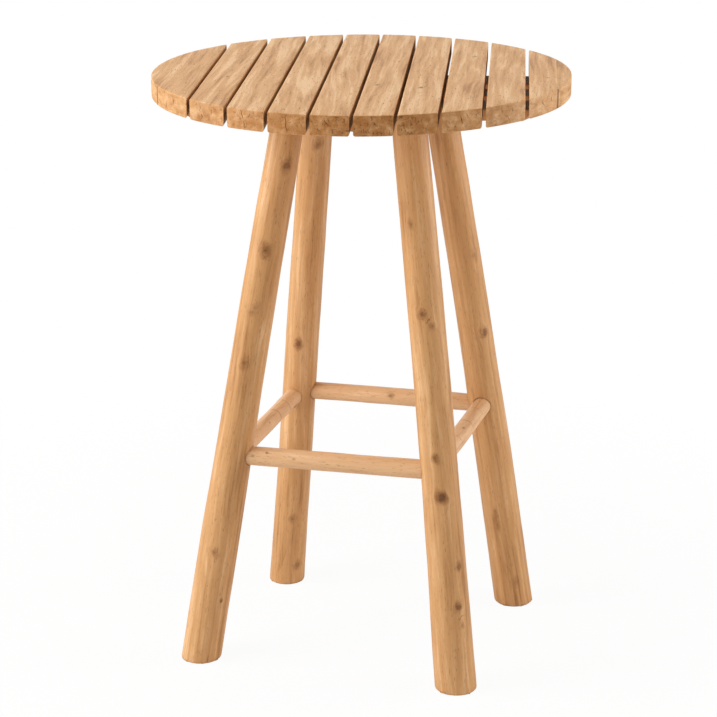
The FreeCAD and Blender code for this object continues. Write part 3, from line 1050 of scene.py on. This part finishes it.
@dataclass
class Rod(Round):
    """A round stretcher between two logs, with a stub tenon at each end.

    Each scar has its place, the middle of its turn round the rod, its spread and its depth. The swelling has
    its place and its height, the flake its place, turn, length and width.
    """
    name: str
    first_leg: str
    last_leg: str
    heights: tuple
    thickness: float
    tone: float = 0.0
    knots: tuple = ()
    scars: tuple = ()
    swell: tuple = (1.0, 0.0)
    flake: tuple = ()
    mound: tuple = (0.0008, 1.0, 0.8, 6.0)
    wave: float = 0.0006
    twist: float = 0.5
    pith: tuple = (0.005, 0.002)
    tenon: float = 0.011
    tenon_gap: float = 0.002
    seat: float = 0.0025
    seat_gap: float = 0.0008
    easing: float = 0.0006
    tip: float = 0.0015
    sides: int = 56
    step: float = 0.004
    scar_width: float = 0.0011
    scar_depth: float = 0.0006

    def place(self, legs: dict) -> None:
        """Finds the stretcher's line and shoulders between its legs.

        Args:
            legs: The four logs by name.
        """
        both = [(legs[name], height / legs[name].axis.z)
                for name, height in zip((self.first_leg, self.last_leg), self.heights)]
        self.start, end = (leg.centre(way) for leg, way in both)
        first_radius, last_radius = (leg.radius(way) for leg, way in both)
        self.axis = (end - self.start).normalized()
        length = (end - self.start).length
        first, last = (reach(radius, self.thickness / 2) for radius in (first_radius, last_radius))
        self.shoulders = (first - self.seat, length - last + self.seat)
        self.ends = (self.tenon + self.tenon_gap, length - self.tenon - self.tenon_gap)
        self.zero = self.axis.cross(UP).normalized()
        self.quarter = self.zero.cross(self.axis).normalized()
        self.shift = sum(ord(letter) for letter in self.name) * 0.311

    def ring(self, way: float, radius: float, rough: float = 0.0) -> list:
        """One ring of points round the line."""
        return [self.centre(way) + self.out(turn) * (radius + rough * self.unevenness(way, turn, 1.5, 17))
                for turn in turns(self.sides)]

    def swelling(self, way: float) -> float:
        """How much thicker the rod is past its last scar."""
        start, height = self.swell
        share = limited((way - start) / 0.004)
        return height * share * share * (3 - 2 * share)

    def sliver(self, way: float, turn: float, length: float, width: float) -> Work:
        """A torn sliver of wood that stands off the rod.

        Args:
            way: Where it is still joined to the rod.
            turn: Where it starts round the rod.
            length: Its length.
            width: Its width where it starts.

        Returns:
            The sliver as a closed working mesh.
        """
        out = self.out(turn)
        round_way = self.axis.cross(out)
        root = self.centre(way) + out * (self.thickness / 2 - 0.0012)
        rings = []
        for share in (number / 8 for number in range(9)):
            middle = (root - self.axis * length * share + out * (0.0052 * share ** 1.3)
                      - self.quarter * 0.004 * share)
            half = round_way * width / 2 * (1.0 - share) ** 0.7 + round_way * 0.0002
            thick = out * (0.0007 - 0.0005 * share)
            rings.append([middle - half - thick, middle + half - thick, middle + half * 0.8 + thick,
                          middle - half * 0.8 + thick])
        return tube(rings)

    def tool(self) -> Work:
        """What the stretcher takes out of its legs, with a fine ring left round it."""
        gap = self.seat_gap
        tenon, radius = self.tenon + gap, self.thickness / 2 + gap
        first, last = self.shoulders[0] - gap, self.shoulders[1] + gap
        profile = ((self.ends[0] - gap, tenon), (first, tenon), (first, radius),
                   (last, radius), (last, tenon), (self.ends[1] + gap, tenon))
        return tube([self.ring(*place) for place in profile])

    def scar_at(self, way: float, turn: float) -> float:
        """How deep a point lies in a ring scar, from 0 beside it to 1 in its middle.

        Args:
            way: The point's length along the line.
            turn: Its turn round the line.

        Returns:
            The depth.
        """
        deepest = 0.0
        for place, middle_turn, spread, depth in self.scars:
            side = max(0.0, 1.0 - (abs(math.remainder(turn - middle_turn, math.tau)) / spread) ** 2)
            away = abs(way - place) / self.scar_width
            deepest = max(deepest, depth * min(1.0, side * 2.0) * max(0.0, 1.0 - away))
        return deepest

    def ways(self) -> list:
        """Places of the rings between the shoulders, close together at a scar."""
        first, last = self.shoulders[0] + self.easing, self.shoulders[1] - self.easing
        count = math.ceil((last - first) / self.step)
        places = [first + (last - first) * number / count for number in range(count + 1)]
        scars = {scar[0] for scar in self.scars}
        places = [place for place in places if all(abs(place - scar) > 2 * self.scar_width for scar in scars)]
        for scar in scars:
            places += [scar + self.scar_width * share for share in (-1.6, -1.0, -0.5, 0.0, 0.5, 1.0, 1.6)]
        return sorted(places)

    def to_log(self, point: Vector) -> Vector:
        """A point in the rod's grain, which runs round its knots."""
        way, turn, away = self.local(point)
        across, along, strength = self.knot_at(point)
        if strength:
            knot = min(self.knots, key=lambda one: abs(one.height - way))
            fade = math.exp(-0.5 * (across ** 2 + along ** 2))
            turn -= math.remainder(turn - knot.turn, math.tau) * 0.7 * fade * strength
        return self.grain(way, turn, away)

    def dark_marks_and_shade(self, point: Vector, normal: Vector) -> float:
        """A thin band of painted shade where the rod enters a leg, and dark scars."""
        way, turn, away = self.local(point)
        first, last = self.shoulders
        inside = min(way - first, last - way) - self.seat
        # Painted shade where the rod enters a leg
        band = 0.45 * max(0.0, 1.0 - max(inside, 0.0) / 0.0025)
        return max(band, 0.65 * self.scar_at(way, turn) if away > self.tenon * 1.2 else 0.0)

    def build(self, finish: Teak) -> None:
        """Builds the rod with its tenons, knots and scars, and dresses it.

        Args:
            finish: The rod's finish.
        """
        radius = self.thickness / 2
        start, end = ([(tip, self.tenon - self.tip), (tip + self.tip * inward, self.tenon),
                       (shoulder, self.tenon), (shoulder, radius - self.easing)]
                      for tip, shoulder, inward in zip(self.ends, self.shoulders, (1, -1)))
        middle = [self.ring(way, radius - 0.0004 + self.swelling(way), self.wave) for way in self.ways()]
        start, end = ([self.ring(*place) for place in places] for places in (start, reversed(end)))
        work = tube(start + middle + end)
        if self.flake:
            work = joined([work, self.sliver(*self.flake)])
        piece = mesh_object("rod_" + self.name, work)
        for vertex in piece.data.vertices:
            way, turn, away = self.local(vertex.co)
            if away > self.tenon + 0.001:
                out = (vertex.co - self.centre(way)).normalized()
                vertex.co += out * (self.lump(vertex.co) - self.scar_depth * self.scar_at(way, turn))
        Grain(self.to_log, self.axis, self.tone, self.knot_at, self.dark_marks_and_shade).write(piece.data)
        finish_piece(piece, self.name, finish)


# Each log: its foot and head as shares of the half sizes, then its swell, its bow and its tone
LOG_SHAPES = {
    "front_left": ((-1.08, -1.05), (-0.87, -0.98), (0.0, 0.022, -0.01, 0.008, -0.015),
                   (0.0, -0.013, -0.016, -0.005, 0.04), 0.0),
    "front_right": ((0.975, -0.965), (1.08, -0.995), (0.04, -0.008, 0.0, 0.018, 0.045),
                    (-0.035, 0.02, 0.03, -0.008, -0.05), 0.05),
    "back_left": ((-0.90, 0.915), (-1.04, 1.0), (-0.045, -0.055, -0.025, 0.0, 0.01),
                  (0.0, 0.013, 0.0, 0.013, 0.01), -0.04),
    "back_right": ((1.05, 1.08), (1.015, 1.025), (0.0, 0.018, -0.02, -0.005, -0.015),
                   (-0.03, 0.03, 0.043, -0.01, -0.09), 0.10),
}

LEG_KNOTS = {
    "front_left": (Knot(0.9545, 0.44, 0.0090, 0.75, 1.5), Knot(0.8000, 0.06, 0.0115, 1.0, 1.15),
                   Knot(0.6947, -0.10, 0.0090, 0.45, 1.5), Knot(0.5917, -0.16, 0.0085, 0.9),
                   Knot(0.2246, -0.11, 0.0090, 0.7), Knot(0.1257, 0.66, 0.0030, 1.0),
                   Knot(0.7400, 2.60, 0.0100, 0.9), Knot(0.3300, -2.20, 0.0090, 0.8)),
    "front_right": (Knot(0.8677, -0.41, 0.0060, 0.6), Knot(0.7094, -0.16, 0.0075, 1.0, 1.2),
                    Knot(0.6880, 0.36, 0.0065, 0.6, 1.2), Knot(0.4468, -0.12, 0.0060, 0.8),
                    Knot(0.3750, 0.09, 0.0095, 1.2, 1.1), Knot(0.2446, 0.74, 0.0060, 0.7),
                    Knot(0.1688, 0.54, 0.0070, 0.9), Knot(0.1338, 0.64, 0.0050, 0.8),
                    Knot(0.6100, 2.70, 0.0100, 0.9), Knot(0.2800, -2.10, 0.0080, 0.8)),
    "back_left": (Knot(0.9380, 0.26, 0.0085, 0.8), Knot(0.5340, -0.17, 0.0075, 0.9),
                  Knot(0.1509, 0.20, 0.0070, 0.5), Knot(0.0431, 0.64, 0.0070, 0.5),
                  Knot(0.7200, 2.90, 0.0095, 0.9), Knot(0.2900, -2.50, 0.0090, 0.9)),
    "back_right": (Knot(0.7382, 0.72, 0.0080, 0.8, 1.4), Knot(0.5848, 0.59, 0.0090, 1.0, 1.2),
                   Knot(0.1937, -0.29, 0.0060, 0.6, 3.0), Knot(0.0571, 0.40, 0.0060, 0.5, 2.0),
                   Knot(0.8100, -2.40, 0.0090, 0.9), Knot(0.3500, 3.00, 0.0100, 0.9)),
}
ROD_KNOTS = {
    "front": (Knot(0.0697, 0.79, 0.0018, 1.0), Knot(0.1226, 0.39, 0.0026, 0.7),
              Knot(0.0437, 0.36, 0.0026, 0.4), Knot(0.2600, 2.60, 0.0060, 0.8)),
    "back": (Knot(0.1900, 0.40, 0.0050, 0.6), Knot(0.2900, -2.70, 0.0060, 0.8)),
    "left": (Knot(0.1450, 0.70, 0.0020, 0.7), Knot(0.0900, 2.80, 0.0050, 0.8)),
    "right": (Knot(0.1400, 1.10, 0.0030, 0.6), Knot(0.2200, -2.40, 0.0050, 0.8)),
}


@dataclass
class LegFrame:
    """Four logs and four stretchers."""
    log_finish: Teak = LOG_TEAK
    rod_finish: Teak = ROD_TEAK
    turn: float = math.radians(-12.6)
    stretcher_height: float = 0.415
    foot_half: tuple = (0.242, 0.193)
    head_half: tuple = (0.111, 0.111)

    def turned(self, share: tuple, half: tuple, height: float) -> tuple:
        """A place square to the leg frame, turned under the slats."""
        x, y = share[0] * half[0], share[1] * half[1]
        return (x * math.cos(self.turn) - y * math.sin(self.turn),
                x * math.sin(self.turn) + y * math.cos(self.turn), height)

    def logs(self) -> dict:
        """The four logs by name, not yet built."""
        return {name: LogLeg("leg_" + name, self.turned(foot, self.foot_half, 0.0),
                             self.turned(head, self.head_half, SLAT_BOTTOM), swell, bow, tone,
                             LEG_KNOTS[name])
                for name, (foot, head, swell, bow, tone) in LOG_SHAPES.items()}

    def rod(self, side: str, first: str, last: str, shares: tuple, *shape: object) -> Rod:
        """A stretcher by its side and legs, its ends given as shares of the stretchers' height."""
        heights = tuple(share * self.stretcher_height for share in shares)
        thickness, tone, *details = shape
        return Rod("stretcher_" + side, first, last, heights, thickness, tone, ROD_KNOTS[side], *details)

    def rods(self) -> list:
        """The four stretchers, not yet placed or built."""
        return [
            self.rod("front", "front_left", "front_right", (0.976, 0.994), 0.03605, -0.06),
            self.rod("back", "back_left", "back_right", (1.028, 1.03), 0.03465, 0.06),
            self.rod("left", "front_left", "back_left", (0.957, 1.018), 0.03307, 0.0,
                     ((0.191, 0.8, 1.5, 1.0), (0.2366, 0.8, 1.3, 0.6)), (0.2366, 0.0009),
                     (0.284, -0.35, 0.036, 0.010)),
            self.rod("right", "front_right", "back_right", (1.028, 1.045), 0.035, 0.04,
                     ((0.1743, 1.2, 1.3, 0.9), (0.2416, 1.1, 1.0, 0.6), (0.0975, 1.1, 1.2, 0.7)))]

    def build(self) -> None:
        """Builds the legs and the stretchers between them."""
        legs, rods = self.logs(), self.rods()
        for rod in rods:
            rod.place(legs)
        for name, leg in legs.items():
            leg.build(self.log_finish, [rod.tool() for rod in rods if name in (rod.first_leg, rod.last_leg)])
        for rod in rods:
            rod.build(self.rod_finish)


# Under-frame and screws

def corners(node: str) -> tuple:
    """The lowest and highest corner of a CAD node."""
    low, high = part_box(node)
    return Vector(low), Vector(high)


@dataclass
class Screw:
    """A countersunk wood screw with a cross recess, modelled once and copied to its places."""
    length: float
    diameter: float
    head: float
    finish: Steel = Steel()
    sides: int = 20
    sink: float = 0.0003
    thread_pitch: float = 0.0019
    recess_width: float = 0.0009
    hole_gap: float = 0.00015

    def places(self, node: str) -> list:
        """Where the screws of a CAD node stand, at their heads.

        Args:
            node: The node's name.

        Returns:
            One place for each screw, from left to right.
        """
        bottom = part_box(node)[0][2]
        spots: list = []
        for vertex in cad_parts[node].data.vertices:
            flat = Vector((vertex.co.x, vertex.co.y))
            near = [spot for spot in spots if (spot[0] - flat).length < 2 * self.head]
            if near:
                near[0].append(flat)
            else:
                spots.append([flat])
        middles = []
        for spot in spots:
            x, y = ((min(values) + max(values)) / 2 for values in zip(*spot))
            middles.append(Vector((x, y, bottom)))
        return sorted(middles, key=lambda place: (round(place.x, 4), place.y))

    def template(self) -> Piece:
        """One screw that stands on its head at the origin.

        Returns:
            The screw as a piece.
        """
        shank, head = self.diameter / 2, self.head / 2
        core = shank * 0.72
        neck = self.sink + head - shank
        profile = [(head * 0.9, self.sink), (head, self.sink + 0.0002), (shank, neck + 0.0002)]
        for number in range(int((self.length - neck - 0.008) / self.thread_pitch)):
            low = neck + 0.004 + number * self.thread_pitch
            profile += [(core, low), (shank * 0.98, low + self.thread_pitch * 0.5)]
        profile += [(core, self.length - 0.003), (0.0002, self.length)]
        screw = mesh_object("screw_template", lathe(profile, self.sides, Vector()))
        half, arm = self.recess_width / 2, head * 0.55
        carve(screw, joined([beam(section(-half, half, -0.001, 0.0016, (0, 0, 0, 0)), way * -arm, way * arm,
                                  Vector((-way.y, way.x, 0))) for way in (RIGHT, BACK)]), crossing=True)
        return screw

    def build(self, node: str) -> None:
        """Builds all the screws of a CAD node as one piece, each turned by chance.

        Args:
            node: The node's name.
        """
        template = self.template()
        work = bmesh.new()
        rng = Random(node)
        for place in self.places(node):
            data = template.data.copy()
            data.transform(Matrix.Translation(place) @ Matrix.Rotation(rng.uniform(0, math.pi), 4, "Z"))
            work.from_mesh(data)
            bpy.data.meshes.remove(data)
        discard(template)
        finish_piece(mesh_object("set_" + node, work), node, self.finish)

    def holes(self, node: str) -> list:
        """What the screws of a CAD node take out of the wood round their heads."""
        shank, head = self.diameter / 2 + self.hole_gap, self.head / 2 + self.hole_gap
        profile = [(head, -0.002), (head, self.sink), (shank, self.sink + head - shank), (shank, self.length)]
        return [lathe(profile, 32, place) for place in self.places(node)]


SLAT_SCREW = Screw(0.038, 0.0045, 0.009)
RAIL_SCREW = Screw(0.042, 0.005, 0.010)
RAIL_LEGS = {"rail_front": ("front_left", "front_right"), "rail_back": ("back_left", "back_right"),
             "rail_left": ("front_left", "back_left"), "rail_right": ("front_right", "back_right")}


@dataclass
class UnderFrame:
    """The bearers under the slats and the rails between the leg heads, planed, eased and screwed."""
    finish: Teak = FRAME_TEAK
    easing: float = 0.0012
    bearer_radius: float = TOP_RADIUS - 0.040
    bearer_bevel: float = 0.010

    def dress(self, piece: Piece, way: Vector, node: str, shift: float) -> None:
        """Gives a board its grain along its length and its finish.

        Args:
            piece: The board.
            way: The direction of its length.
            node: The CAD node that it stands for.
            shift: Where it was cut from the log, in metres.
        """
        low, high = corners(node)
        off = Vector((-way.y, way.x, 0))

        def to_log(point: Vector) -> Vector:
            """A point of the board in its log."""
            local = point - (low + high) / 2
            return Vector((local.dot(off) + 0.03, local.z + 0.02, local.dot(way) + shift))

        Grain(to_log, way).write(piece.data)
        finish_piece(piece, node, self.finish)

    def bearer(self, name: str, shift: float) -> None:
        """A board across the slats, its ends cut to a circle and bevelled underneath.

        Args:
            name: Its CAD node.
            shift: Where it was cut from the log, in metres.
        """
        low, high = corners(name)
        outline = section(low.y, high.y, low.z, high.z, (self.easing,) * 4, 3)
        ends = (low.x - self.bearer_bevel, high.x + self.bearer_bevel)
        piece = mesh_object("board_" + name, beam(outline, *(Vector((end, 0, 0)) for end in ends), BACK))
        carve(piece, disc(self.bearer_radius, low.z, high.z, self.bearer_bevel, self.easing, 1), Keep.INSIDE)
        carve(piece, joined(SLAT_SCREW.holes(name.replace("bearer", "slat_screws"))))
        self.dress(piece, RIGHT, name, shift)

    def rail(self, name: str, legs: dict, shift: float) -> None:
        """A rail on edge between two leg heads, with its screw holes.

        Args:
            name: Its CAD node.
            legs: The four logs by name.
            shift: Where it was cut from the log, in metres.
        """
        low, high = corners(name)
        first, last = (legs[leg].centre((low.z + high.z) / 2 / legs[leg].axis.z) for leg in RAIL_LEGS[name])
        way = Vector((last.x - first.x, last.y - first.y, 0)).normalized()
        off = Vector((-way.y, way.x, 0))
        spans = []
        for axis in (way, off):
            places = [vertex.co.dot(axis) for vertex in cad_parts[name].data.vertices]
            spans.append((min(places), max(places)))
        (start, end), (left, right) = spans
        outline = section(left, right, low.z, high.z, (self.easing,) * 4, 3)
        piece = mesh_object("board_" + name, beam(outline, way * start, way * end, off))
        for hole in RAIL_SCREW.holes("rail_screws"):
            middle = sum((vertex.co for vertex in hole.verts), Vector()) / len(hole.verts)
            if start < middle.dot(way) < end and left < middle.dot(off) < right:
                carve(piece, hole)
            else:
                hole.free()
        self.dress(piece, way, name, shift)

    def build(self) -> None:
        """Builds the boards and drives the screws."""
        legs = LegFrame().logs()
        for number, place in enumerate(("front", "middle", "back")):
            self.bearer("bearer_" + place, 1.3 * number)
        for number, name in enumerate(RAIL_LEGS):
            self.rail(name, legs, 5.1 + 0.7 * number)
        for place in ("front", "middle", "back"):
            SLAT_SCREW.build("slat_screws_" + place)
        RAIL_SCREW.build("rail_screws")


# Studio

@dataclass
class Studio:
    """The camera at the photograph's place, a pale floor and soft light.

    Each lamp has its name, its place, the height it is aimed at and its power.
    """
    camera_place: tuple = (0.2782, -3.6895, 1.8194)
    yaw: float = math.radians(-4.423)
    pitch: float = math.radians(-18.846)
    roll: float = math.radians(-0.244)
    lens: float = 104.74
    floor_radius: float = 9.0
    floor_drop: float = 0.0005
    floor_grey: tuple = (0.86, 0.86, 0.86)
    white: tuple = (1.0, 1.0, 1.0)
    soft_light: tuple = (1.0, 0.90, 0.77)
    soft_strength: float = 0.45
    lamps: tuple = (("left", (-2.8, -0.9, 1.9), 0.6, 94.0), ("right", (2.9, 0.2, 1.5), 0.5, 50.0))
    lamp_size: float = 2.0

    def camera(self) -> None:
        """Sets the camera up."""
        level = math.cos(self.pitch)
        forward = Vector((math.sin(self.yaw) * level, math.cos(self.yaw) * level, math.sin(self.pitch)))
        right = Vector((math.cos(self.yaw), -math.sin(self.yaw), 0))
        up = right.cross(forward)
        level = right * math.cos(self.roll) + up * math.sin(self.roll)
        upward = up * math.cos(self.roll) - right * math.sin(self.roll)
        data = bpy.data.cameras.new("camera")
        data.lens = self.lens
        data.sensor_width = 36.0
        data.sensor_fit = "HORIZONTAL"
        made = linked("camera", data)
        turn = Matrix((level, upward, -forward)).transposed().to_4x4()
        made.matrix_world = Matrix.Translation(self.camera_place) @ turn
        bpy.context.scene.camera = made

    def floor(self) -> None:
        """A wide pale floor that shows white to the camera but keeps a soft shadow."""
        work = bmesh.new()
        bmesh.ops.create_circle(work, cap_ends=True, segments=96, radius=self.floor_radius)
        made = mesh_object("floor", work)
        made.location.z = -self.floor_drop
        material = bpy.data.materials.new("floor_white")
        shader = Shader(material)
        away = shader.signal("TexCoord", None, "Object").length()
        seen = shader.signal("LightPath", None, "Is Camera Ray") * (0.94 + away.between(0.5, 1.6) * 0.06)
        shader.blend("Material", seen, ("BsdfDiffuse", {"Color": self.floor_grey}),
                     ("Emission", {"Color": self.white, "Strength": 1.0}))
        made.data.materials.append(material)

    def world(self) -> None:
        """Even soft light from all round, white to the camera and in gloss."""
        made = bpy.data.worlds.new("studio")
        shader = Shader(made)
        camera, gloss = (shader.signal("LightPath", None, out) for out in ("Is Camera Ray", "Is Glossy Ray"))
        shader.blend("World", camera.larger(gloss),
                     ("Background", {"Color": self.soft_light, "Strength": self.soft_strength}),
                     ("Background", {"Color": self.white, "Strength": 1.0}))
        bpy.context.scene.world = made

    def lamp(self, name: str, place: tuple, aim_height: float, power: float) -> None:
        """One soft square lamp, aimed at the table's middle line."""
        data = bpy.data.lights.new(name, "AREA")
        data.shape = "SQUARE"
        data.size = self.lamp_size
        data.energy = power
        made = linked(name, data)
        made.location = place
        made.rotation_euler = (UP * aim_height - Vector(place)).to_track_quat("-Z", "Y").to_euler()

    def build(self) -> None:
        """Sets the whole studio up."""
        self.camera()
        self.floor()
        self.world()
        for lamp in self.lamps:
            self.lamp(*lamp)
        bpy.context.scene.view_settings.view_transform = "Standard"
        log.info("studio ready")


def main() -> None:
    """Builds the table and the studio."""
    logging.basicConfig(level=logging.INFO, format="%(message)s")
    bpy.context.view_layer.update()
    SlatTop().build()
    LegFrame().build()
    UnderFrame().build()
    Studio().build()


if __name__ == "__main__":
    main()
